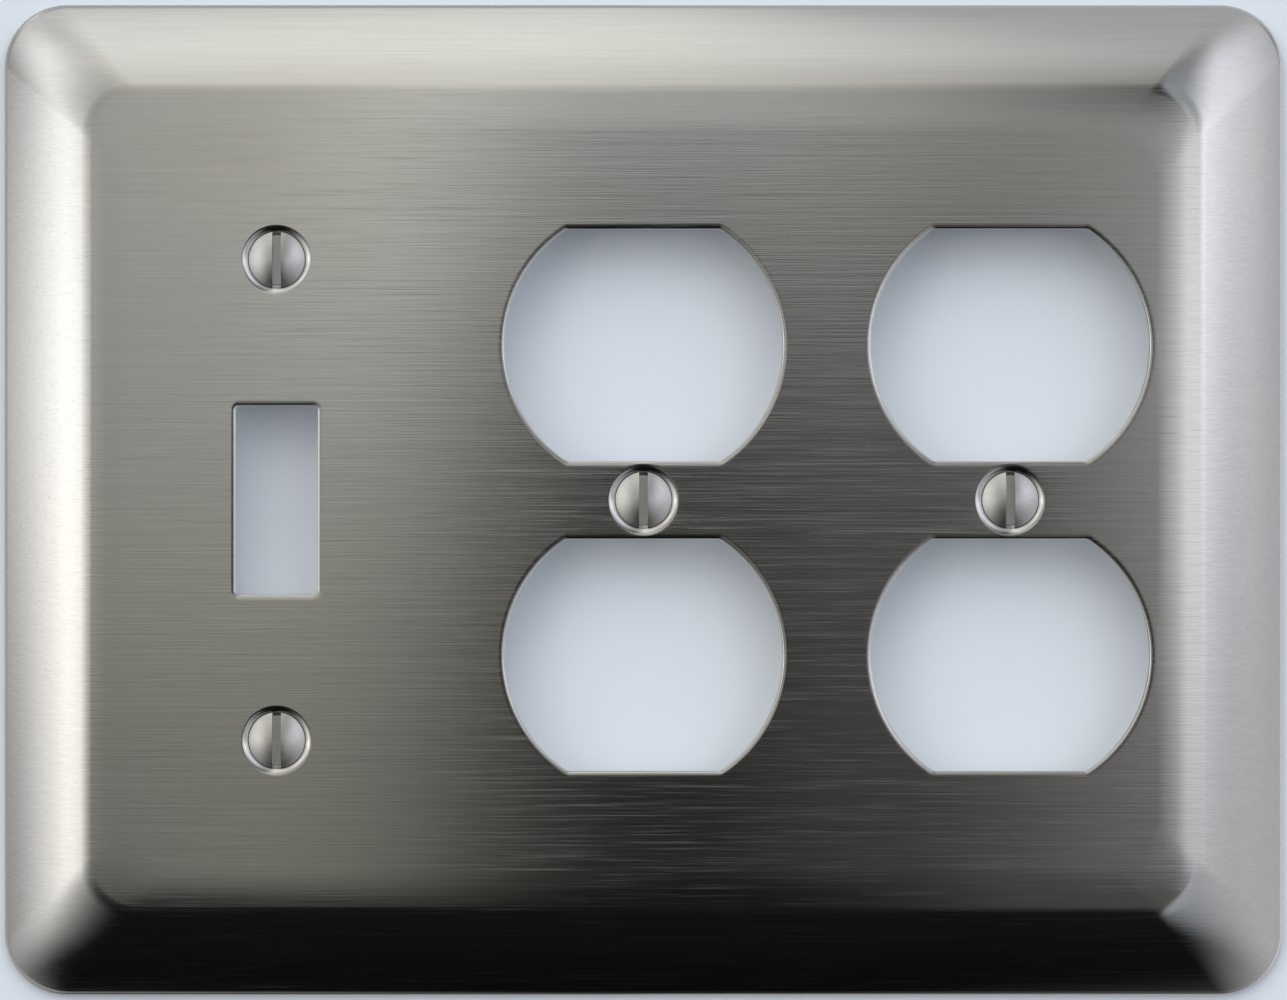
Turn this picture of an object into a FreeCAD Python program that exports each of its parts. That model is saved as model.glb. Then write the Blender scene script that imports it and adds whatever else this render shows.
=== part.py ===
"""Three-gang wall plate cover, one toggle gang and two duplex outlet gangs, with its four mounting screws.

Frame, in millimetres: +X along the plate's width, +Z up the wall and -Y out of the wall, towards the room.
The origin is the centre of the plate's rear rim, in the plane of the finished wall.
"""
import FreeCAD, Part
import math
import os

# Gangs, from left to right: a toggle switch and two duplex outlets
GANG_PITCH = 46.04           # 1 13/16 in between device centres
END_MARGIN = 34.91           # from the end gangs' centres to the plate's left and right edges

# The pressed sheet
PLATE_WIDTH = 2 * GANG_PITCH + 2 * END_MARGIN    # 6 3/8 in
PLATE_HEIGHT = 125.4         # 4 15/16 in
PLATE_DEPTH = 6.35           # wall plane to front face
SHEET = 0.8                  # thickness of the stainless sheet
OUTER_CORNER = 7.9           # corner radius of the outline
FACE_CORNER = 5.5            # corner radius where the flat face ends

# The domed border, from the flat face out to the rim
BORDER_WIDTH = 16.5          # flat face to outline, seen from the front
SHOULDER_RADIUS = 69.0       # front radius of the slight curve that leads into the crease
SHOULDER_ANGLE = 4.0         # slope, in degrees, where the shoulder ends
CREASE_RADIUS = 7.0          # front radius of the soft bend between shoulder and border
CREASE_ANGLE = 16.0          # slope where the crease ends
BORDER_ANGLE = 36.0          # slope of the border where the rim bend starts
RIM_INSIDE_RADIUS = 0.3      # back radius of the tight bend at the rim
RIM_ANGLE = 80.0             # slope of the short lip that stands on the wall
ARC_STEPS = 4                # sections along each of the four bends

# The openings
TOGGLE_SCREW_SPACING = 60.33  # 2 3/8 in
TOGGLE_SLOT_WIDTH = 10.3
TOGGLE_SLOT_HEIGHT = 23.8
TOGGLE_SLOT_CORNER = 0.6
OUTLET_DIAMETER = 34.93      # 1 3/8 in
OUTLET_FLATS = 29.2          # between the flat top and bottom
OUTLET_SPACING = 38.9        # between the two openings of a gang
OUTLET_CORNER = 0.9          # where a flat meets the round side

# The 6-32 oval head screws
HEAD_DIAMETER = 7.1
CROWN_HEIGHT = 0.95
COUNTERSINK_ANGLE = 82.0     # included angle of the head's cone and of the dimple's
SCREW_LENGTH = 12.7          # from the head's widest edge to the tip
THREAD_MAJOR = 3.506         # 6-32 thread, modelled as a plain cylinder
NECK_STEP = 0.253            # how far the unthreaded neck lies inside the thread, on the radius
NECK_LENGTH = 0.7
TIP_CHAMFER = 0.4
SLOT_WIDTH = 1.1
SLOT_DEPTH = 1.45            # from the top of the crown

# The formed screw dimples, sized from the screws
HEAD_MARGIN = 0.35           # the cone's mouth stands out past the head's edge, on the radius
HOLE_CLEARANCE = 0.7         # between the thread and the pierced hole, on the radius
SEAT_GAP = 0.05              # between the head's cone and the dimple's cone
LIP_INSIDE_RADIUS = 0.4      # back radius of the bend from the face into the cone

OUT = FreeCAD.Vector(0, -1, 0)
FACE_Y = -PLATE_DEPTH
CONE_SLOPE = math.radians(90 - COUNTERSINK_ANGLE / 2)
RIM_RADIUS = RIM_INSIDE_RADIUS + SHEET
LIP_RADIUS = LIP_INSIDE_RADIUS + SHEET
MOUTH = HEAD_DIAMETER / 2 + HEAD_MARGIN                    # radius of the cone in the face plane
DIMPLE_RADIUS = MOUTH + LIP_RADIUS * math.tan(CONE_SLOPE / 2)    # where the flat sheet starts to bend
HOLE_RADIUS = THREAD_MAJOR / 2 + HOLE_CLEARANCE
TOGGLE_X = -GANG_PITCH
OUTLET_XS = (0.0, GANG_PITCH)
OUTLET_ZS = (-OUTLET_SPACING / 2, OUTLET_SPACING / 2)
SCREWS = {
    "toggle_screw_upper": (TOGGLE_X, TOGGLE_SCREW_SPACING / 2),
    "toggle_screw_lower": (TOGGLE_X, -TOGGLE_SCREW_SPACING / 2),
    "middle_outlet_screw": (OUTLET_XS[0], 0.0),
    "right_outlet_screw": (OUTLET_XS[1], 0.0),
}


def rounded_rectangle(width, height, corner, y):
    """A closed wire in the plane y, centred on the origin: four straight sides and four corner arcs."""
    half_width, half_height = width / 2, height / 2
    diagonal = corner * math.sqrt(0.5)
    edges = []
    last = None
    first = None
    for turn, (side_x, side_z) in enumerate([(1, 1), (-1, 1), (-1, -1), (1, -1)]):
        centre_x = side_x * (half_width - corner)
        centre_z = side_z * (half_height - corner)
        along_x = FreeCAD.Vector(centre_x + side_x * corner, y, centre_z)
        along_z = FreeCAD.Vector(centre_x, y, centre_z + side_z * corner)
        middle = FreeCAD.Vector(centre_x + side_x * diagonal, y, centre_z + side_z * diagonal)
        start, end = (along_x, along_z) if turn % 2 == 0 else (along_z, along_x)
        if last is None:
            first = start
        else:
            edges.append(Part.LineSegment(last, start).toShape())
        edges.append(Part.Arc(start, middle, end).toShape())
        last = end
    edges.append(Part.LineSegment(last, first).toShape())
    return Part.Wire(edges)


def border_profile():
    """The front surface from the flat face to the rim, as tangent stretches: four arcs and a straight lip.

    Each stretch is a list of (inset, depth, slope): the distance inside the outline, the distance behind
    the face plane and the surface's angle to it. The third arc's radius gives the border its stated width.
    """
    shoulder = math.radians(SHOULDER_ANGLE)
    crease = math.radians(CREASE_ANGLE)
    border = math.radians(BORDER_ANGLE)
    rim = math.radians(RIM_ANGLE)
    known = ((SHOULDER_RADIUS, 0.0, shoulder), (CREASE_RADIUS, shoulder, crease), (RIM_RADIUS, border, rim))
    run_left = BORDER_WIDTH - sum(r * (math.sin(end) - math.sin(start)) for r, start, end in known)
    drop_left = PLATE_DEPTH - sum(r * (math.cos(start) - math.cos(end)) for r, start, end in known)
    # the lip leans out a little as it drops, so its run and the third arc's radius are solved together
    arc_run = math.sin(border) - math.sin(crease)
    arc_drop = math.cos(crease) - math.cos(border)
    lean = 1 / math.tan(rim)
    border_radius = (run_left - drop_left * lean) / (arc_run - arc_drop * lean)
    stretches = []
    inset, depth, slope = BORDER_WIDTH, 0.0, 0.0
    for radius, start, end in known[:2] + ((border_radius, crease, border),) + known[2:]:
        points = [(inset, depth, slope)]
        for step in range(1, ARC_STEPS + 1):
            turned = start + (end - start) * step / ARC_STEPS
            inset -= radius * (math.sin(turned) - math.sin(slope))
            depth += radius * (math.cos(slope) - math.cos(turned))
            slope = turned
            points.append((inset, depth, slope))
        stretches.append(points)
    stretches.append([(inset, depth, rim), (0.0, PLATE_DEPTH, rim)])
    return stretches


def border_section(inset, depth, slope, offset):
    """The outline at one height of the border, moved into the sheet by the offset, square to the surface."""
    moved_in = inset + offset * math.sin(slope)
    moved_back = depth + offset * math.cos(slope)
    if moved_back > PLATE_DEPTH:
        moved_in = inset + offset / math.sin(slope)
        moved_back = PLATE_DEPTH
    corner = OUTER_CORNER + (FACE_CORNER - OUTER_CORNER) * inset / BORDER_WIDTH - offset * math.sin(slope)
    width = PLATE_WIDTH - 2 * moved_in
    height = PLATE_HEIGHT - 2 * moved_in
    return rounded_rectangle(width, height, corner, FACE_Y + moved_back)


def dished_block(offset):
    """The block behind the border's surface, moved into the sheet by the offset, down to the wall plane."""
    slices = []
    for points in border_profile():
        sections = [border_section(*point, offset) for point in points]
        slices.append(Part.makeLoft(sections, True, len(points) == 2))
    return slices[0].fuse(slices[1:])


def slot_cutter():
    """The prism that cuts the toggle's slot."""
    outline = rounded_rectangle(TOGGLE_SLOT_WIDTH, TOGGLE_SLOT_HEIGHT, TOGGLE_SLOT_CORNER, 0)
    prism = Part.Face(outline).extrude(OUT * PLATE_DEPTH * 2)
    prism.translate(FreeCAD.Vector(TOGGLE_X, 0, 0))
    return prism


def runs_through(edge):
    """Whether a straight edge of a prism runs through the sheet, along Y."""
    return edge.BoundBox.YLength > PLATE_DEPTH


def outlet_cutter(x, z):
    """The prism that cuts one outlet opening: a circle with a flat top and bottom and eased corners."""
    depth = PLATE_DEPTH * 2
    disc = Part.makeCylinder(OUTLET_DIAMETER / 2, depth, FreeCAD.Vector(x, 0, z), OUT)
    corner = FreeCAD.Vector(x - OUTLET_DIAMETER / 2, -depth, z - OUTLET_FLATS / 2)
    opening = disc.common(Part.makeBox(OUTLET_DIAMETER, depth, OUTLET_FLATS, corner))
    corners = [edge for edge in opening.Edges if runs_through(edge)]
    return opening.makeFillet(OUTLET_CORNER, corners)


def turned(profile, x, z):
    """The solid that closed edges in the XY plane sweep about the Y axis, moved to a screw's place."""
    solid = Part.Face(Part.Wire(profile)).revolve(FreeCAD.Vector(0, 0, 0), FreeCAD.Vector(0, 1, 0), 360)
    solid.translate(FreeCAD.Vector(x, 0, z))
    return solid


def lines(points):
    """Straight edges through a list of (radius, y) points."""
    corners = [FreeCAD.Vector(radius, y, 0) for radius, y in points]
    return [Part.LineSegment(a, b).toShape() for a, b in zip(corners, corners[1:])]


def bend(centre, radius, slope):
    """An arc from the flat sheet to the cone's slope, about a centre behind the sheet: (edge, end point)."""
    def point(angle):
        return FreeCAD.Vector(centre[0] - radius * math.sin(angle), centre[1] - radius * math.cos(angle), 0)

    end = point(slope)
    return Part.Arc(point(0), point(slope / 2), end).toShape(), (end.x, end.y)


def dimple(x, z):
    """The formed ring around a screw hole: sheet of even thickness, bent back into a cone and pierced."""
    centre = (DIMPLE_RADIUS, FACE_Y + LIP_RADIUS)
    front_bend, front_end = bend(centre, LIP_RADIUS, CONE_SLOPE)
    back_bend, back_end = bend(centre, LIP_INSIDE_RADIUS, CONE_SLOPE)
    front_hole = (HOLE_RADIUS, front_end[1] + (front_end[0] - HOLE_RADIUS) * math.tan(CONE_SLOPE))
    back_hole = (HOLE_RADIUS, back_end[1] + (back_end[0] - HOLE_RADIUS) * math.tan(CONE_SLOPE))
    profile = [front_bend]
    profile += lines([front_end, front_hole, back_hole, back_end])
    profile.append(back_bend)
    profile += lines([(DIMPLE_RADIUS, FACE_Y + SHEET), (DIMPLE_RADIUS, FACE_Y)])
    return turned(profile, x, z)


def dimple_blank(x, z):
    """The disc of flat sheet that a dimple takes the place of."""
    return Part.makeCylinder(DIMPLE_RADIUS, 2 * PLATE_DEPTH, FreeCAD.Vector(x, 0, z), OUT)


def cover_plate():
    """The pressed sheet: domed border, screw dimples and openings."""
    sheet = dished_block(0).cut(dished_block(SHEET))
    sheet = sheet.cut([dimple_blank(x, z) for x, z in SCREWS.values()])
    sheet = sheet.fuse([dimple(x, z) for x, z in SCREWS.values()])
    openings = [outlet_cutter(x, z) for x in OUTLET_XS for z in OUTLET_ZS]
    return sheet.cut([slot_cutter()] + openings).removeSplitter()


def oval_head_screw(x, z):
    """A slotted oval head screw, its cone seated in the dimple with the named gap."""
    head = HEAD_DIAMETER / 2
    thread = THREAD_MAJOR / 2
    neck = thread - NECK_STEP
    # the head sinks until its cone is the seat gap away from the dimple's cone
    edge_y = FACE_Y + (MOUTH - SEAT_GAP / math.sin(CONE_SLOPE) - head) * math.tan(CONE_SLOPE)
    neck_y = edge_y + (head - neck) * math.tan(CONE_SLOPE)
    thread_y = neck_y + NECK_LENGTH
    tip_y = edge_y + SCREW_LENGTH
    crown_y = edge_y - CROWN_HEIGHT
    crown_radius = (head ** 2 + CROWN_HEIGHT ** 2) / (2 * CROWN_HEIGHT)
    halfway = math.asin(head / crown_radius) / 2
    shoulder_y = crown_y + crown_radius * (1 - math.cos(halfway))
    crown = Part.Arc(
        FreeCAD.Vector(0, crown_y, 0),
        FreeCAD.Vector(crown_radius * math.sin(halfway), shoulder_y, 0),
        FreeCAD.Vector(head, edge_y, 0),
    ).toShape()
    shank = lines([
        (head, edge_y),
        (neck, neck_y),
        (neck, thread_y),
        (thread, thread_y),
        (thread, tip_y - TIP_CHAMFER),
        (thread - TIP_CHAMFER, tip_y),
        (0, tip_y),
        (0, crown_y),
    ])
    slot_corner = FreeCAD.Vector(x - SLOT_WIDTH / 2, crown_y - SLOT_DEPTH, z - head)
    slot = Part.makeBox(SLOT_WIDTH, 2 * SLOT_DEPTH, HEAD_DIAMETER, slot_corner)
    return turned([crown] + shank, x, z).cut(slot)


os.makedirs("parts", exist_ok=True)
cover_plate().exportStep("parts/cover_plate.step")
for name, (screw_x, screw_z) in SCREWS.items():
    oval_head_screw(screw_x, screw_z).exportStep("parts/" + name + ".step")
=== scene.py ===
"""The looks of a three-gang wall plate cover: a pressed, brushed stainless steel plate and its four screws.

Metres, in the part's own frame: +X along the width, +Z up the wall, -Y towards the room, y = 0 at the wall.
"""

import math

import bmesh
import bpy
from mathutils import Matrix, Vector


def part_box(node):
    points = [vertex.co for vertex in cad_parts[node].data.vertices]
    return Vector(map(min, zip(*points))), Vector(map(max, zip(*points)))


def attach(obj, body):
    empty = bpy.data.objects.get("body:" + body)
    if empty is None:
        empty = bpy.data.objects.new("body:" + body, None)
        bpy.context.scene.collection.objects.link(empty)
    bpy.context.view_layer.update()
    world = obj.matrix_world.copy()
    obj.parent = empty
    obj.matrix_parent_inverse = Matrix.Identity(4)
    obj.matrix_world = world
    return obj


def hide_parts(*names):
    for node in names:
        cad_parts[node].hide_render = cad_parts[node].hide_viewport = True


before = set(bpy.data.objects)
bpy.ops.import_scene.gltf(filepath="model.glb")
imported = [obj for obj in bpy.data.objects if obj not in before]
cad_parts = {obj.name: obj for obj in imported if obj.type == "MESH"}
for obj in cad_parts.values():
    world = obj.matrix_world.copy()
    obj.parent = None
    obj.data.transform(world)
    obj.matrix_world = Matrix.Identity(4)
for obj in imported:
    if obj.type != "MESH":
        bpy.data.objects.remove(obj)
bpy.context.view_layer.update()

MM = 0.001
PLATE = "cover_plate"
SCREWS = ("toggle_screw_upper", "toggle_screw_lower", "middle_outlet_screw", "right_outlet_screw")

# The pressed sheet. The outline and the face's place come from the CAD plate.
plate_low, plate_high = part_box(PLATE)
WIDTH = plate_high.x - plate_low.x
HEIGHT = plate_high.z - plate_low.z
FACE_Y = plate_low.y
DEPTH = plate_high.y - plate_low.y
SHEET = 0.8 * MM
OUTER_CORNER = 7.9 * MM
FACE_CORNER = 5.5 * MM
EDGE_BREAK = 0.1 * MM        # rounding of the sheared rim and of the openings' back edges

# The domed border, from the flat face out to the rim
BORDER_WIDTH = 16.5 * MM
SHOULDER_RADIUS = 69 * MM
SHOULDER_ANGLE = math.radians(4)
CREASE_RADIUS = 7.0 * MM
CREASE_ANGLE = math.radians(16)
BORDER_ANGLE = math.radians(36)
RIM_RADIUS = 0.3 * MM + SHEET
RIM_ANGLE = math.radians(80)

# The openings, placed from the screws that stand between them
SLOT_WIDTH = 10.3 * MM
SLOT_HEIGHT = 23.8 * MM
SLOT_CORNER = 0.6 * MM
OUTLET_RADIUS = 34.93 * MM / 2
OUTLET_HALF_FLATS = 29.2 * MM / 2
OUTLET_FROM_SCREW = 38.9 * MM / 2
OUTLET_CORNER = 0.9 * MM
ROLL_WIDTH = 0.8 * MM        # how far from an opening the sheet starts to roll in
ROLL_DEPTH = 0.022 * MM
ROLL_RADIUS = 0.22 * MM      # the tight round at the punched edge

# The formed dimples and the screws that seat in them
CONE_SLOPE = math.radians(90 - 82 / 2)
HEAD_RADIUS = 7.1 * MM / 2
MOUTH = HEAD_RADIUS + 0.35 * MM
LIP_INSIDE_RADIUS = 0.4 * MM
LIP_RADIUS = LIP_INSIDE_RADIUS + SHEET
DIMPLE_RADIUS = MOUTH + LIP_RADIUS * math.tan(CONE_SLOPE / 2)
THREAD_RADIUS = 3.506 * MM / 2
THREAD_PITCH = 25.4 * MM / 32
HOLE_RADIUS = THREAD_RADIUS + 0.7 * MM
SEAT_GAP = 0.05 * MM
CROWN_HEIGHT = 0.95 * MM
SCREW_LENGTH = 12.7 * MM
NECK_RADIUS = THREAD_RADIUS - 0.253 * MM
NECK_LENGTH = 0.7 * MM
TIP_CHAMFER = 0.4 * MM
DRIVE_WIDTH = 1.1 * MM
DRIVE_DEPTH = 1.45 * MM
DRIVE_EDGE = 0.05 * MM       # the broken edges along the driver's slot
HEAD_EDGE = 0.06 * MM        # the small round where the crown meets the cone
THREAD_GROOVE = 0.6134 * THREAD_PITCH

# How finely the curves are cut
CORNER_STEPS = 20            # points round each corner of the outline
SIDE_STEPS = 40              # points along each side of the outline
CIRCLE_STEPS = 96            # points round each dimple and screw
BEND_STEPS = 8               # points over the dimple's outer bend
CROWN_STEPS = 18             # points from the middle of a head to its edge
THREAD_STEPS = 12            # points along the screw for each turn of the thread
CRISP_ANGLE = math.radians(40)    # faces that meet at more than this keep a crisp edge between them
SCREW_CRISP_ANGLE = math.radians(32)
SAME_PLACE = 0.001 * MM

# The finishes. Colours are linear red, green and blue.
PLATE_COLOUR = (0.61, 0.61, 0.605, 1)
SCREW_COLOUR = (0.60, 0.60, 0.59, 1)
PLATE_FINISH = {"contrast": 0.28, "roughness": 0.12, "spread": 0.05, "bump": 0.38, "anisotropy": 0.6}
SCREW_FINISH = {"contrast": 0.3, "roughness": 0.34, "spread": 0.08, "bump": 0.2, "anisotropy": 0.6}
SCRATCH_DEPTH = 0.02 * MM

# The studio: a wall just behind the rim and a floor below the plate
WALL_COLOUR = (0.79, 0.85, 0.95, 1)
FLOOR_COLOUR = (0.36, 0.39, 0.45, 1)
BACKDROP_COLOUR = (0.66, 0.72, 0.84, 1)
WALL_GAP = 0.3 * MM
FLOOR_DROP = 0.3
STAGE_REACH = 6.0
CAMERA_DISTANCE = 0.602
CAMERA_LENS = 132.8
CAMERA_SENSOR = 36


def screw_centre(name):
    """Where a screw's axis crosses the plate, as (x, z)."""
    low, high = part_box(name)
    return (low.x + high.x) / 2, (low.z + high.z) / 2


# ---------------------------------------------------------------- outlines in the plate's plane

def arc(centre_x, centre_z, radius, start, end, steps):
    """Points (x, z, normal x, normal z) along an arc, angles in degrees, both ends included."""
    points = []
    for step in range(steps + 1):
        angle = math.radians(start + (end - start) * step / steps)
        across, up = math.cos(angle), math.sin(angle)
        points.append((centre_x + radius * across, centre_z + radius * up, across, up))
    return points


def straight(start, end, steps):
    """Points strictly between two outline points, with the first one's normal."""
    points = []
    for step in range(1, steps):
        share = step / steps
        x = start[0] + (end[0] - start[0]) * share
        z = start[1] + (end[1] - start[1]) * share
        points.append((x, z, start[2], start[3]))
    return points


def rounded_rectangle(centre_x, centre_z, width, height, corner, corner_steps, side_steps):
    """A closed outline: four corner arcs joined by straight sides that are cut into steps."""
    arcs = []
    for quarter, (side_x, side_z) in enumerate([(1, 1), (-1, 1), (-1, -1), (1, -1)]):
        x = centre_x + side_x * (width / 2 - corner)
        z = centre_z + side_z * (height / 2 - corner)
        arcs.append(arc(x, z, corner, 90 * quarter, 90 * quarter + 90, corner_steps))
    points = []
    for this, following in zip(arcs, arcs[1:] + arcs[:1]):
        points += this + straight(this[-1], following[0], side_steps)
    return points


def outlet_outline(centre_x, centre_z):
    """A circle with a flat top and bottom, the corners between them eased."""
    corner_z = OUTLET_HALF_FLATS - OUTLET_CORNER
    corner_x = math.sqrt((OUTLET_RADIUS - OUTLET_CORNER) ** 2 - corner_z ** 2)
    meet = math.degrees(math.atan2(corner_z, corner_x))
    points = []
    for side in (0, 180):
        sign = 1 if side == 0 else -1
        x = centre_x + sign * corner_x
        low = centre_z - sign * corner_z
        high = centre_z + sign * corner_z
        points += arc(x, low, OUTLET_CORNER, side - 90, side - meet, 6)
        points += arc(centre_x, centre_z, OUTLET_RADIUS, side - meet, side + meet, 80)[1:]
        points += arc(x, high, OUTLET_CORNER, side + meet, side + 90, 6)[1:]
        across = (centre_x - sign * corner_x, points[-1][1])
        points += straight(points[-1], across, 32)
    return points


def circle_outline(centre_x, centre_z):
    """A circle of no radius: every ring's size comes from its own distance out."""
    return arc(centre_x, centre_z, 0.0, 0, 360, CIRCLE_STEPS)[:-1]


# ---------------------------------------------------------------- mesh building

def add_ring(bm, points):
    """Vertices through a closed list of (x, y, z)."""
    return [bm.verts.new(point) for point in points]


def bridge(bm, rings):
    """Quads between each ring and the next."""
    for one, other in zip(rings, rings[1:]):
        count = len(one)
        for i in range(count):
            j = (i + 1) % count
            bm.faces.new((one[i], one[j], other[j], other[i]))


def fill_between(bm, rings):
    """A flat face bounded by closed rings: the first outside, the others its holes."""
    edges = []
    for ring in rings:
        for one, other in zip(ring, ring[1:] + ring[:1]):
            edges.append(bm.edges.get((one, other)) or bm.edges.new((one, other)))
    bmesh.ops.triangle_fill(bm, use_beauty=True, use_dissolve=False, edges=edges)


def smooth_normals(mesh, sharp_angle):
    """Corner normals averaged by face area over faces that meet within the sharp angle."""
    limit = math.cos(sharp_angle)
    around = [[] for _ in mesh.vertices]
    for face in mesh.polygons:
        for vertex in face.vertices:
            around[vertex].append((face.normal.copy(), face.area))
    normals = []
    for face in mesh.polygons:
        for vertex in face.vertices:
            total = Vector()
            for normal, area in around[vertex]:
                if normal.dot(face.normal) > limit:
                    total += normal * area
            normals.append(total.normalized())
    mesh.normals_split_custom_set(normals)


def make_piece(bm, name, sharp_angle):
    """A finished object from a bmesh, with a grain map: u across the plate and v up it."""
    bmesh.ops.recalc_face_normals(bm, faces=bm.faces)
    grain = bm.loops.layers.uv.new("grain")
    for face in bm.faces:
        face.smooth = True
        for corner in face.loops:
            point = corner.vert.co
            corner[grain].uv = (point.x + 0.2 * point.y, point.z + 0.35 * point.y)
    mesh = bpy.data.meshes.new(name)
    bm.to_mesh(mesh)
    bm.free()
    smooth_normals(mesh, sharp_angle)
    piece = bpy.data.objects.new(name, mesh)
    bpy.context.scene.collection.objects.link(piece)
    return piece


# ---------------------------------------------------------------- the plate

def border_profile():
    """Points (inset, depth, slope) down the front, from the flat face to the rim: four arcs and a lip."""
    fixed = (
        (SHOULDER_RADIUS, 0.0, SHOULDER_ANGLE, 6),
        (CREASE_RADIUS, SHOULDER_ANGLE, CREASE_ANGLE, 12),
        (RIM_RADIUS, BORDER_ANGLE, RIM_ANGLE, 8),
    )
    run_left = BORDER_WIDTH - sum(r * (math.sin(b) - math.sin(a)) for r, a, b, _ in fixed)
    drop_left = DEPTH - sum(r * (math.cos(a) - math.cos(b)) for r, a, b, _ in fixed)
    arc_run = math.sin(BORDER_ANGLE) - math.sin(CREASE_ANGLE)
    arc_drop = math.cos(CREASE_ANGLE) - math.cos(BORDER_ANGLE)
    lean = 1 / math.tan(RIM_ANGLE)
    border_radius = (run_left - drop_left * lean) / (arc_run - arc_drop * lean)
    arcs = fixed[:2] + ((border_radius, CREASE_ANGLE, BORDER_ANGLE, 28),) + fixed[2:]
    inset, depth = BORDER_WIDTH, 0.0
    points = [(inset, depth, 0.0)]
    for radius, start, end, steps in arcs:
        slope = start
        for step in range(1, steps + 1):
            turned = start + (end - start) * step / steps
            inset -= radius * (math.sin(turned) - math.sin(slope))
            depth += radius * (math.cos(slope) - math.cos(turned))
            slope = turned
            points.append((inset, depth, slope))
    for share in (0.5, 1.0):
        points.append((inset * (1 - share), depth + (DEPTH - depth) * share, RIM_ANGLE))
    return points


def border_ring(inset, depth, slope, offset):
    """The plate's outline at one height, moved into the sheet by the offset."""
    corner = OUTER_CORNER + (FACE_CORNER - OUTER_CORNER) * inset / BORDER_WIDTH - offset * math.sin(slope)
    moved_in = inset + offset * math.sin(slope)
    y = min(FACE_Y + depth + offset * math.cos(slope), plate_high.y)
    outline = rounded_rectangle(
        0, 0, WIDTH - 2 * moved_in, HEIGHT - 2 * moved_in, corner, CORNER_STEPS, SIDE_STEPS
    )
    return [(x, y, z) for x, z, _, _ in outline]


def border_rings():
    """Rings from the flat face's front, round the rim with its sheared edge, to the flat face's back."""
    profile = border_profile()
    last_inset, last_depth, _ = profile[-1]
    front = [border_ring(*point, 0.0) for point in profile[:-1]]
    front.append(border_ring(last_inset, last_depth - EDGE_BREAK, RIM_ANGLE, 0.0))
    edge = [
        border_ring(last_inset + share * EDGE_BREAK, last_depth - (1 - share) ** 2 * EDGE_BREAK, 0.0, 0.0)
        for share in (0.3, 1.0)
    ]
    inner = SHEET / math.sin(RIM_ANGLE)
    edge += [
        border_ring(last_inset + inner - EDGE_BREAK, last_depth, 0.0, 0.0),
        border_ring(last_inset + inner - 0.3 * EDGE_BREAK, last_depth - 0.3 * EDGE_BREAK, 0.0, 0.0),
    ]
    back = [border_ring(*point, SHEET) for point in reversed(profile[:-1])]
    return front + edge + back


def roll_room(x, z, dimples):
    """How wide the rolled edge can be at a point before it meets a dimple."""
    gaps = [math.hypot(x - dx, z - dz) - DIMPLE_RADIUS for dx, dz in dimples]
    return min(ROLL_WIDTH, min(gaps) - EDGE_BREAK)


def opening_rings(outline, dimples):
    """Rings from the front face over the rolled edge, through the punched wall, to the back face."""
    rings = []
    soft_steps, tight_steps = 5, 6
    for step in range(soft_steps + 1):
        share = step / soft_steps
        ring = []
        for x, z, out_x, out_z in outline:
            room = roll_room(x, z, dimples)
            out = room + (ROLL_RADIUS - room) * share
            ring.append((x + out_x * out, FACE_Y + ROLL_DEPTH * share ** 3, z + out_z * out))
        rings.append(ring)
    for step in range(1, tight_steps + 1):
        turned = math.pi / 2 * step / tight_steps
        out = ROLL_RADIUS * (1 - math.sin(turned))
        y = FACE_Y + ROLL_DEPTH + ROLL_RADIUS * (1 - math.cos(turned))
        rings.append([(x + out_x * out, y, z + out_z * out) for x, z, out_x, out_z in outline])
    back_y = FACE_Y + SHEET
    soft_corner = 0.3 * EDGE_BREAK
    for out, y in ((0, back_y - EDGE_BREAK), (soft_corner, back_y - soft_corner), (EDGE_BREAK, back_y)):
        rings.append([(x + out_x * out, y, z + out_z * out) for x, z, out_x, out_z in outline])
    return rings


def dimple_profile():
    """Points (radius, y) from the flat front, down the cone, through the pierced hole, to the flat back."""
    edge_steps = 4
    centre_y = FACE_Y + LIP_RADIUS
    points = []
    for step in range(BEND_STEPS + 1):
        turned = CONE_SLOPE * step / BEND_STEPS
        out = DIMPLE_RADIUS - LIP_RADIUS * math.sin(turned)
        points.append((out, centre_y - LIP_RADIUS * math.cos(turned)))
    radius, y = points[-1]
    hole_edge = (HOLE_RADIUS, y + (radius - HOLE_RADIUS) * math.tan(CONE_SLOPE))
    down = (-math.cos(CONE_SLOPE), math.sin(CONE_SLOPE))
    for step in range(edge_steps + 1):
        share = step / edge_steps
        before = (hole_edge[0] - down[0] * EDGE_BREAK, hole_edge[1] - down[1] * EDGE_BREAK)
        after = (hole_edge[0], hole_edge[1] + EDGE_BREAK)
        weights = ((1 - share) ** 2, 2 * share * (1 - share), share ** 2)
        corners = (before, hole_edge, after)
        points.append(tuple(sum(w * c[axis] for w, c in zip(weights, corners)) for axis in (0, 1)))
    back = []
    for step in range(BEND_STEPS + 1):
        turned = CONE_SLOPE * step / BEND_STEPS
        out = DIMPLE_RADIUS - LIP_INSIDE_RADIUS * math.sin(turned)
        back.append((out, centre_y - LIP_INSIDE_RADIUS * math.cos(turned)))
    radius, y = back[-1]
    back_edge_y = y + (radius - HOLE_RADIUS) * math.tan(CONE_SLOPE)
    points.append((HOLE_RADIUS, back_edge_y - EDGE_BREAK))
    points.append((HOLE_RADIUS + 0.7 * EDGE_BREAK, back_edge_y - 0.5 * EDGE_BREAK))
    return points + back[::-1]


def turned_rings(centre, profile):
    """Rings round a screw's axis through a list of (radius, y)."""
    outline = circle_outline(*centre)
    return [[(x + ox * r, y, z + oz * r) for x, z, ox, oz in outline] for r, y in profile]


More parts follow.
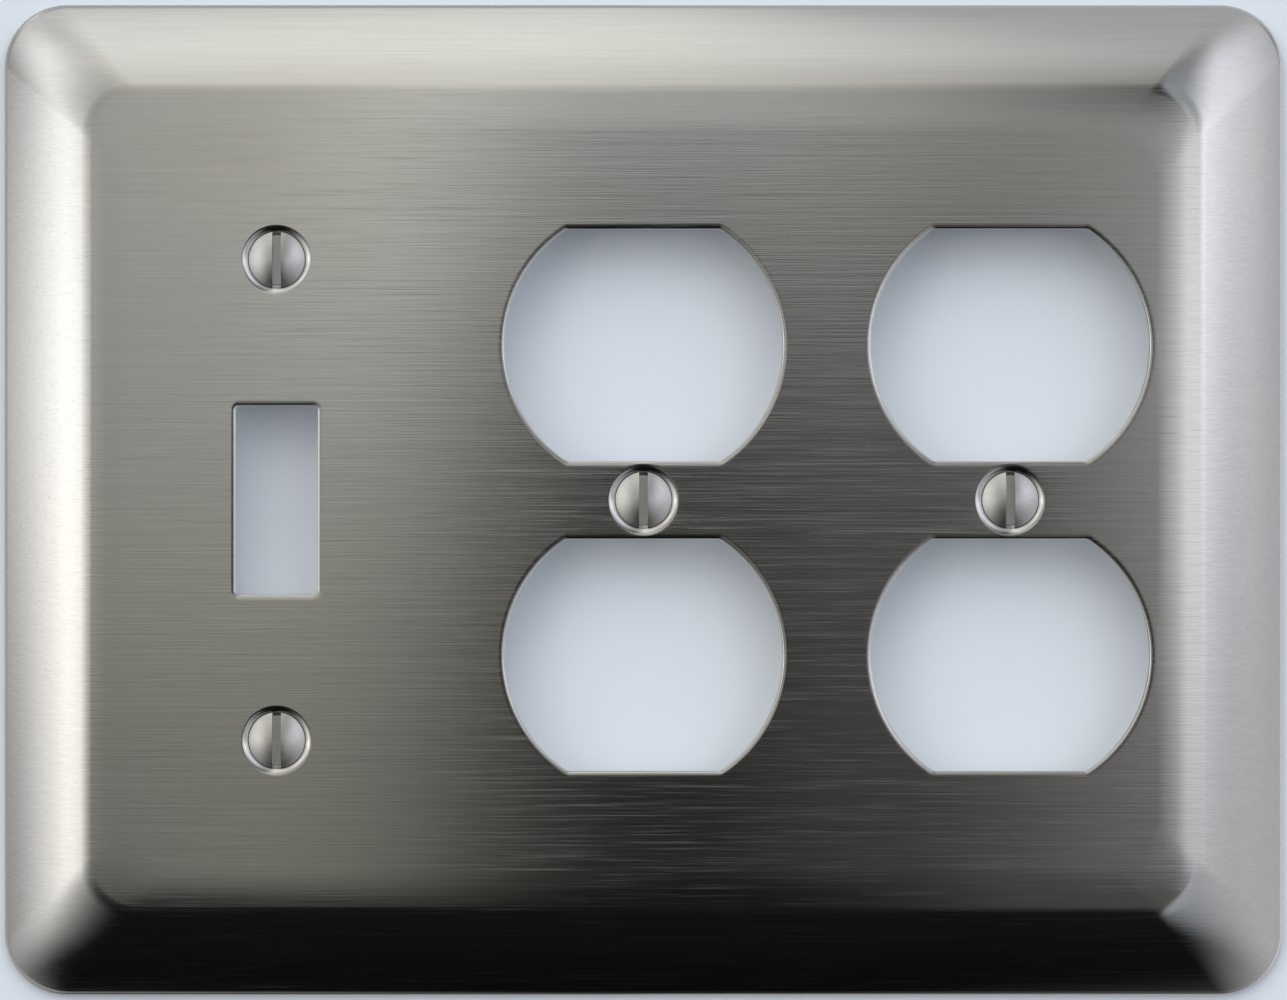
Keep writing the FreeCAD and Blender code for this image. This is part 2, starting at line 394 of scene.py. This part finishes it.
def cover_plate():
    """The whole pressed sheet, front, rim, openings, dimples and back, as one closed skin."""
    bm = bmesh.new()
    dimples = [screw_centre(name) for name in SCREWS]
    upper, lower, middle, right = dimples
    outlines = [
        rounded_rectangle(upper[0], (upper[1] + lower[1]) / 2, SLOT_WIDTH, SLOT_HEIGHT, SLOT_CORNER, 6, 16)
    ]
    for x, z in (middle, right):
        outlines.append(outlet_outline(x, z + OUTLET_FROM_SCREW))
        outlines.append(outlet_outline(x, z - OUTLET_FROM_SCREW))
    skins = [border_rings()]
    skins += [opening_rings(outline, dimples) for outline in outlines]
    skins += [turned_rings(centre, dimple_profile()) for centre in dimples]
    front, back = [], []
    for skin in skins:
        rings = [add_ring(bm, ring) for ring in skin]
        bridge(bm, rings)
        front.append(rings[0])
        back.append(rings[-1])
    fill_between(bm, front)
    fill_between(bm, back)
    return make_piece(bm, "plate_skin", CRISP_ANGLE)


# ---------------------------------------------------------------- the screws

def head_profile():
    """Points (radius, y) over the crown and down the cone to the neck, and the y where the thread starts."""
    edge_y = FACE_Y + (MOUTH - SEAT_GAP / math.sin(CONE_SLOPE) - HEAD_RADIUS) * math.tan(CONE_SLOPE)
    crown_y = edge_y - CROWN_HEIGHT
    crown_radius = (HEAD_RADIUS ** 2 + CROWN_HEIGHT ** 2) / (2 * CROWN_HEIGHT)
    half = math.asin(HEAD_RADIUS / crown_radius)
    points = []
    for step in range(1, CROWN_STEPS):
        turned = half * step / CROWN_STEPS
        points.append((crown_radius * math.sin(turned), crown_y + crown_radius * (1 - math.cos(turned))))
    edge_drop = HEAD_EDGE * math.tan(CONE_SLOPE)
    points += [(HEAD_RADIUS - HEAD_EDGE, edge_y - 0.5 * HEAD_EDGE), (HEAD_RADIUS - 0.3 * HEAD_EDGE, edge_y)]
    points.append((HEAD_RADIUS - HEAD_EDGE, edge_y + edge_drop))
    neck_y = edge_y + (HEAD_RADIUS - NECK_RADIUS) * math.tan(CONE_SLOPE)
    points += [(NECK_RADIUS + HEAD_EDGE, neck_y - edge_drop), (NECK_RADIUS, neck_y + HEAD_EDGE)]
    return crown_y, points, neck_y + NECK_LENGTH, edge_y + SCREW_LENGTH


def thread_radius(turn, y, start, end):
    """The thread's radius at an angle (in turns) and a depth: a 60 degree groove that fades in and out."""
    phase = ((y - start) / THREAD_PITCH - turn) % 1.0
    height = min(1.0, max(0.0, 1.25 - 2.5 * abs(phase - 0.5)))
    radius = THREAD_RADIUS - THREAD_GROOVE * height
    fade_in = min(1.0, max(0.0, (y - start) / THREAD_PITCH))
    radius = NECK_RADIUS + (radius - NECK_RADIUS) * fade_in
    chamfer = THREAD_RADIUS - TIP_CHAMFER + (end - y)
    return min(radius, chamfer)


def oval_head_screw(name):
    """An oval head screw with a driver slot and a real helical thread, on its own axis."""
    centre = screw_centre(name)
    crown_y, profile, thread_start, tip_y = head_profile()
    bm = bmesh.new()
    rings = [add_ring(bm, ring) for ring in turned_rings(centre, profile)]
    rows = int((tip_y - thread_start) / THREAD_PITCH * THREAD_STEPS)
    outline = circle_outline(*centre)
    for row in range(rows + 1):
        y = thread_start + (tip_y - thread_start) * row / rows
        ring = []
        for i, (x, z, out_x, out_z) in enumerate(outline):
            radius = thread_radius(i / CIRCLE_STEPS, y, thread_start, tip_y)
            ring.append((x + out_x * radius, y, z + out_z * radius))
        rings.append(add_ring(bm, ring))
    bridge(bm, rings)
    for ring, y in ((rings[0], crown_y), (rings[-1], tip_y)):
        middle = bm.verts.new((centre[0], y, centre[1]))
        for one, other in zip(ring, ring[1:] + ring[:1]):
            bm.faces.new((one, other, middle))
    bmesh.ops.recalc_face_normals(bm, faces=bm.faces)
    cut_driver_slot(bm, centre, crown_y)
    return make_piece(bm, name + "_turned", SCREW_CRISP_ANGLE)


def cut_driver_slot(bm, centre, crown_y):
    """Cuts the driver's slot across the head, upright."""
    body = bpy.data.meshes.new("screw_blank")
    bm.to_mesh(body)
    blank = bpy.data.objects.new("screw_blank", body)
    cutter_bm = bmesh.new()
    bmesh.ops.create_cube(cutter_bm, size=1.0)
    size = Vector((DRIVE_WIDTH, 2 * DRIVE_DEPTH, 4 * HEAD_RADIUS))
    for vertex in cutter_bm.verts:
        vertex.co = Vector((centre[0], crown_y, centre[1])) + vertex.co * size
    cutter_mesh = bpy.data.meshes.new("driver_blade")
    cutter_bm.to_mesh(cutter_mesh)
    cutter_bm.free()
    cutter = bpy.data.objects.new("driver_blade", cutter_mesh)
    for item in (blank, cutter):
        bpy.context.scene.collection.objects.link(item)
    cut = blank.modifiers.new("slot", "BOOLEAN")
    cut.operation = "DIFFERENCE"
    cut.solver = "EXACT"
    cut.object = cutter
    graph = bpy.context.evaluated_depsgraph_get()
    result = bpy.data.meshes.new_from_object(blank.evaluated_get(graph))
    bm.clear()
    bm.from_mesh(result)
    for item in (blank, cutter):
        data = item.data
        bpy.data.objects.remove(item)
        bpy.data.meshes.remove(data)
    bpy.data.meshes.remove(result)
    soften_slot_edges(bm, centre, crown_y)


def soften_slot_edges(bm, centre, crown_y):
    """Rounds the two long edges where the driver's slot meets the crown."""
    slot_floor = crown_y + DRIVE_DEPTH

    def on_slot_wall(vertex):
        from_middle = abs(vertex.co.x - centre[0])
        return abs(from_middle - DRIVE_WIDTH / 2) < SAME_PLACE and vertex.co.y < slot_floor - DRIVE_EDGE

    edges = [
        edge for edge in bm.edges
        if all(on_slot_wall(vertex) for vertex in edge.verts) and edge.calc_face_angle(0) > CRISP_ANGLE
    ]
    bmesh.ops.bevel(
        bm, geom=edges, offset=DRIVE_EDGE, segments=2, profile=0.5, affect="EDGES", clamp_overlap=True
    )


# ---------------------------------------------------------------- materials

class Nodes:
    """Short forms for building a node tree."""

    def __init__(self, tree):
        self.tree = tree

    def add(self, kind, **settings):
        node = self.tree.nodes.new(kind)
        for name, value in settings.items():
            setattr(node, name, value)
        return node

    def put(self, value, socket):
        """Links a socket, or sets a constant."""
        if isinstance(value, bpy.types.NodeSocket):
            self.tree.links.new(value, socket)
        else:
            socket.default_value = value

    def math(self, operation, *values):
        node = self.add("ShaderNodeMath", operation=operation)
        for value, socket in zip(values, node.inputs):
            self.put(value, socket)
        return node.outputs[0]

    def ramp(self, value, low, high, start, end, kind="SMOOTHSTEP"):
        """start below low, end above high, and a smooth change between."""
        node = self.add("ShaderNodeMapRange", interpolation_type=kind)
        for name, given in (
            ("Value", value), ("From Min", low), ("From Max", high), ("To Min", start), ("To Max", end)
        ):
            self.put(given, node.inputs[name])
        return node.outputs[0]

    def scale(self, vector, factors):
        node = self.add("ShaderNodeVectorMath", operation="MULTIPLY")
        self.put(vector, node.inputs[0])
        node.inputs[1].default_value = factors
        return node.outputs[0]

    def noise(self, vector, detail):
        node = self.add("ShaderNodeTexNoise")
        self.put(vector, node.inputs["Vector"])
        node.inputs["Scale"].default_value = 1.0
        node.inputs["Detail"].default_value = detail
        return node.outputs["Fac"]


def new_group(name, inputs, outputs):
    """An empty shader node group: inputs are (name, type, default), outputs (name, type)."""
    tree = bpy.data.node_groups.new(name, "ShaderNodeTree")
    for label, kind, default in inputs:
        socket = tree.interface.new_socket(label, in_out="INPUT", socket_type=kind)
        socket.default_value = default
    for label, kind in outputs:
        tree.interface.new_socket(label, in_out="OUTPUT", socket_type=kind)
    made = Nodes(tree)
    return made, made.add("NodeGroupInput").outputs, made.add("NodeGroupOutput").inputs


def brushed_grain_group():
    """Long fine scratches along X in three lengths, rougher stray hairlines, and broad warmer patches."""
    made, given, out = new_group(
        "brushed_grain",
        [("Colour", "NodeSocketColor", (0.6, 0.6, 0.6, 1)), ("Contrast", "NodeSocketFloat", 0.1),
         ("Roughness", "NodeSocketFloat", 0.25), ("Roughness spread", "NodeSocketFloat", 0.05)],
        [("Colour", "NodeSocketColor"), ("Roughness", "NodeSocketFloat"), ("Height", "NodeSocketFloat")],
    )
    place = made.add("ShaderNodeTexCoord").outputs["Object"]
    hair = made.noise(made.scale(place, (90, 3000, 7500)), 2.0)
    scratch = made.noise(made.scale(place, (35, 1500, 2600)), 3.0)
    band = made.noise(made.scale(place, (12, 300, 420)), 2.0)
    patch = made.noise(made.scale(place, (9, 9, 16)), 2.0)
    fine = made.math("MULTIPLY_ADD", hair, 0.45, made.math("MULTIPLY", scratch, 0.4))
    streaks = made.math("MULTIPLY_ADD", band, 0.15, fine)
    centred = made.math("SUBTRACT", streaks, 0.5)
    stray = made.noise(made.scale(place, (75, 4000, 9000)), 1.0)
    hairlines = made.ramp(stray, 0.54, 0.74, 0.0, 1.0)
    tone = made.math("MULTIPLY_ADD", centred, given["Contrast"], 1.0)
    tinted = made.add("ShaderNodeVectorMath", operation="SCALE")
    made.put(given["Colour"], tinted.inputs[0])
    made.put(tone, tinted.inputs["Scale"])
    patchy = made.math("SUBTRACT", patch, 0.5)
    warmth = made.add("ShaderNodeCombineXYZ")
    for channel, shift in enumerate((0.1, 0.0, -0.1)):
        made.put(made.math("MULTIPLY_ADD", patchy, shift, 1.0), warmth.inputs[channel])
    warmed = made.add("ShaderNodeVectorMath", operation="MULTIPLY")
    made.put(tinted.outputs[0], warmed.inputs[0])
    made.put(warmth.outputs[0], warmed.inputs[1])
    made.put(warmed.outputs[0], out["Colour"])
    scuffed = made.math("MULTIPLY_ADD", hairlines, 1.5, centred)
    uneven = made.math("MULTIPLY_ADD", patchy, 0.6, scuffed)
    rough = made.math("MULTIPLY_ADD", uneven, given["Roughness spread"], given["Roughness"])
    made.put(rough, out["Roughness"])
    made.put(streaks, out["Height"])
    return made.tree


def steel(name, grain, colour, contrast, roughness, spread, bump, anisotropy):
    """A brushed steel made from the grain group."""
    material = bpy.data.materials.new(name)
    material.use_nodes = True
    made = Nodes(material.node_tree)
    shader = material.node_tree.nodes["Principled BSDF"]
    shader.inputs["Metallic"].default_value = 1.0
    shader.inputs["Anisotropic"].default_value = anisotropy
    shader.inputs["Anisotropic Rotation"].default_value = 0.25
    surface = made.add("ShaderNodeGroup", node_tree=grain)
    for label, value in (
        ("Colour", colour), ("Contrast", contrast), ("Roughness", roughness), ("Roughness spread", spread)
    ):
        surface.inputs[label].default_value = value
    made.put(surface.outputs["Colour"], shader.inputs["Base Color"])
    made.put(surface.outputs["Roughness"], shader.inputs["Roughness"])
    relief = made.add("ShaderNodeBump")
    relief.inputs["Strength"].default_value = bump
    relief.inputs["Distance"].default_value = SCRATCH_DEPTH
    made.put(surface.outputs["Height"], relief.inputs["Height"])
    made.put(relief.outputs["Normal"], shader.inputs["Normal"])
    along = made.add("ShaderNodeTangent", direction_type="UV_MAP", uv_map="grain")
    made.put(along.outputs["Tangent"], shader.inputs["Tangent"])
    return material


def stage_paint(name, colour):
    """Pale matt paint, seen only from its front, so that the plate's back shows through the wall."""
    material = bpy.data.materials.new(name)
    material.use_nodes = True
    made = Nodes(material.node_tree)
    shader = material.node_tree.nodes["Principled BSDF"]
    shader.inputs["Base Color"].default_value = colour
    shader.inputs["Roughness"].default_value = 0.9
    shader.inputs["Specular IOR Level"].default_value = 0.1
    clear = made.add("ShaderNodeBsdfTransparent")
    front = made.math("SUBTRACT", 1.0, made.add("ShaderNodeNewGeometry").outputs["Backfacing"])
    seen = made.math("MULTIPLY", front, made.add("ShaderNodeLightPath").outputs["Is Camera Ray"])
    mix = made.add("ShaderNodeMixShader")
    made.put(seen, mix.inputs[0])
    made.put(clear.outputs[0], mix.inputs[1])
    made.put(shader.outputs[0], mix.inputs[2])
    made.put(mix.outputs[0], material.node_tree.nodes["Material Output"].inputs["Surface"])
    return material


# ---------------------------------------------------------------- the studio

def stage_plane(name, corners, material):
    """A flat stage piece through four corners."""
    mesh = bpy.data.meshes.new(name)
    mesh.from_pydata(corners, [], [(0, 1, 2, 3)])
    mesh.materials.append(material)
    plane = bpy.data.objects.new(name, mesh)
    bpy.context.scene.collection.objects.link(plane)


BOX_SIDES = ("Left", "Right", "Bottom", "Top", "Left edge", "Right edge", "Bottom edge", "Top edge")


def soft_box_group():
    """How much of a soft light a direction meets: one inside the box, fading smoothly over its four edges."""
    made, given, out = new_group(
        "soft_box",
        [(label, "NodeSocketFloat", 0.0) for label in ("Azimuth", "Elevation") + BOX_SIDES],
        [("Light", "NodeSocketFloat")],
    )
    masks = []
    for angle, low, high in (("Azimuth", "Left", "Right"), ("Elevation", "Bottom", "Top")):
        rise_end = made.math("ADD", given[low], given[low + " edge"])
        fall_start = made.math("SUBTRACT", given[high], given[high + " edge"])
        masks.append(made.ramp(given[angle], given[low], rise_end, 0.0, 1.0))
        masks.append(made.ramp(given[angle], fall_start, given[high], 1.0, 0.0))
    sides = made.math("MULTIPLY", masks[0], masks[1])
    ends = made.math("MULTIPLY", masks[2], masks[3])
    made.put(made.math("MULTIPLY", sides, ends), out["Light"])
    return made.tree


# Matt surfaces take the room's light stronger than the metal mirrors it, and more so from above.
MATT_LIGHT_BELOW = 0.5
MATT_LIGHT_ABOVE = 3.9
MATT_LIGHT_RISE = (-35, 80)    # the elevations, in degrees, between which it changes

# Each soft light in the room, in degrees: azimuth from and to (0 towards the room, + to the right), elevation
# from and to, the widths of its soft left, right, bottom and top edges, then its colour and brightness.
LIGHTS = (
    ("left_window", (-80, -14, -45, 50, 40, 35, 45, 25), (1.0, 0.98, 0.94), 1.30),
    ("left_lamp", (-105, -11, -5, 8, 35, 9, 12, 12), (1.0, 0.94, 0.87), 1.75),
    ("left_side", (-190, -35, -90, 65, 80, 45, 10, 15), (0.98, 0.99, 1.0), 0.40),
    ("right_window", (10.5, 75, -40, 45, 2, 65, 20, 20), (0.87, 0.93, 1.0), 0.45),
    ("right_lamp", (20, 90, -5, 55, 15, 60, 12, 25), (0.91, 0.92, 1.0), 0.85),
    ("right_side", (15, 190, -110, 55, 55, 80, 95, 55), (0.98, 0.98, 1.0), 0.60),
    ("ceiling_left", (-80, 14, 15, 115, 85, 17, 25, 55), (1.0, 0.96, 0.86), 0.65),
    ("ceiling_middle", (-5, 9, 2, 45, 4, 8, 2.5, 25), (0.98, 1.0, 0.95), 0.55),
    ("ceiling", (-200, 200, 25, 115, 12, 12, 30, 25), (0.96, 1.0, 0.99), 0.55),
    ("room_left", (-45, -1, -4, 50, 40, 2, 8.5, 35), (1.0, 0.98, 0.90), 0.55),
    ("room_left_middle", (-5.5, -1.5, -14, 8, 2, 1.5, 6, 4), (0.98, 1.0, 0.88), 0.14),
    ("room_left_low", (-55, -2.5, -12, 2.5, 12, 2.5, 5, 3), (0.98, 1.0, 0.88), 0.20),
    ("room_middle", (1, 4, -12, 8, 1, 1.5, 14, 5), (1.0, 0.98, 0.92), 0.08),
    ("room_right_low", (2.5, 60, -24, 0, 2.5, 30, 12, 4), (1.0, 0.98, 0.95), 0.08),
    ("room_right", (3, 55, -7.5, 14, 7.5, 40, 10, 15), (1.0, 0.98, 0.96), 0.95),
    ("floor", (-200, 200, -110, -5, 20, 20, 75, 15), (1.0, 0.98, 0.93), 0.007),
    ("behind_left", (-240, -92, -60, 70, 30, 30, 40, 40), (0.98, 0.99, 1.0), 0.20),
    ("behind_right", (92, 240, -60, 70, 30, 30, 40, 40), (0.98, 0.99, 1.0), 0.36),
)


def studio_world():
    """Soft room light for reflections and shade, and a plain pale backdrop for the camera."""
    world = bpy.data.worlds.new("studio")
    bpy.context.scene.world = world
    world.use_nodes = True
    made = Nodes(world.node_tree)
    backdrop = world.node_tree.nodes["Background"]
    backdrop.inputs["Color"].default_value = BACKDROP_COLOUR
    place = made.add("ShaderNodeSeparateXYZ")
    made.put(made.add("ShaderNodeTexCoord").outputs["Generated"], place.inputs[0])
    to_room = made.math("MULTIPLY", place.outputs[1], -1.0)
    azimuth = made.math("DEGREES", made.math("ARCTAN2", place.outputs[0], to_room))
    elevation = made.math("DEGREES", made.math("ARCSINE", place.outputs[2]))
    group = soft_box_group()
    total = None
    for name, sides, colour, brightness in LIGHTS:
        box = made.add("ShaderNodeGroup", node_tree=group, name=name)
        made.put(azimuth, box.inputs["Azimuth"])
        made.put(elevation, box.inputs["Elevation"])
        for label, value in zip(BOX_SIDES, sides):
            box.inputs[label].default_value = value
        lit = made.add("ShaderNodeVectorMath", operation="SCALE")
        lit.inputs[0].default_value = [brightness * c for c in colour]
        made.put(box.outputs["Light"], lit.inputs["Scale"])
        if total is None:
            total = lit.outputs[0]
        else:
            both = made.add("ShaderNodeVectorMath", operation="ADD")
            made.put(total, both.inputs[0])
            made.put(lit.outputs[0], both.inputs[1])
            total = both.outputs[0]
    room = made.add("ShaderNodeBackground")
    made.put(total, room.inputs["Color"])
    path = made.add("ShaderNodeLightPath")
    matt_light = made.ramp(elevation, *MATT_LIGHT_RISE, MATT_LIGHT_BELOW, MATT_LIGHT_ABOVE)
    strength = made.ramp(path.outputs["Is Diffuse Ray"], 0, 1, 1.0, matt_light, "LINEAR")
    made.put(strength, room.inputs["Strength"])
    seen = made.add("ShaderNodeMixShader")
    made.put(path.outputs["Is Camera Ray"], seen.inputs[0])
    made.put(room.outputs[0], seen.inputs[1])
    made.put(backdrop.outputs[0], seen.inputs[2])
    made.put(seen.outputs[0], world.node_tree.nodes["World Output"].inputs["Surface"])


def camera():
    """Straight in front of the plate, far enough for its outline to just fit the picture."""
    data = bpy.data.cameras.new("camera")
    data.sensor_width = CAMERA_SENSOR
    data.lens = CAMERA_LENS
    data.clip_start = 0.01
    made = bpy.data.objects.new("camera", data)
    made.location = (0, plate_high.y - CAMERA_DISTANCE, 0)
    made.rotation_euler = (math.pi / 2, 0, 0)
    bpy.context.scene.collection.objects.link(made)
    bpy.context.scene.camera = made


camera()
studio_world()
corners = [(-STAGE_REACH, -STAGE_REACH), (STAGE_REACH, -STAGE_REACH), (STAGE_REACH, STAGE_REACH),
           (-STAGE_REACH, STAGE_REACH)]
wall_y = plate_high.y + WALL_GAP
stage_plane("wall", [(x, wall_y, z) for x, z in corners], stage_paint("wall_paint", WALL_COLOUR))
stage_plane("floor", [(x, y, -FLOOR_DROP) for x, y in corners], stage_paint("floor_paint", FLOOR_COLOUR))

grain = brushed_grain_group()
plate_steel = steel("brushed_stainless", grain, PLATE_COLOUR, **PLATE_FINISH)
screw_steel = steel("screw_stainless", grain, SCREW_COLOUR, **SCREW_FINISH)

plate = cover_plate()
plate.data.materials.append(plate_steel)
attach(plate, "plate")
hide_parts(PLATE)

for screw_name in SCREWS:
    screw = oval_head_screw(screw_name)
    screw.data.materials.append(screw_steel)
    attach(screw, screw_name)
    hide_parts(screw_name)

bpy.context.scene.view_settings.view_transform = "Standard"
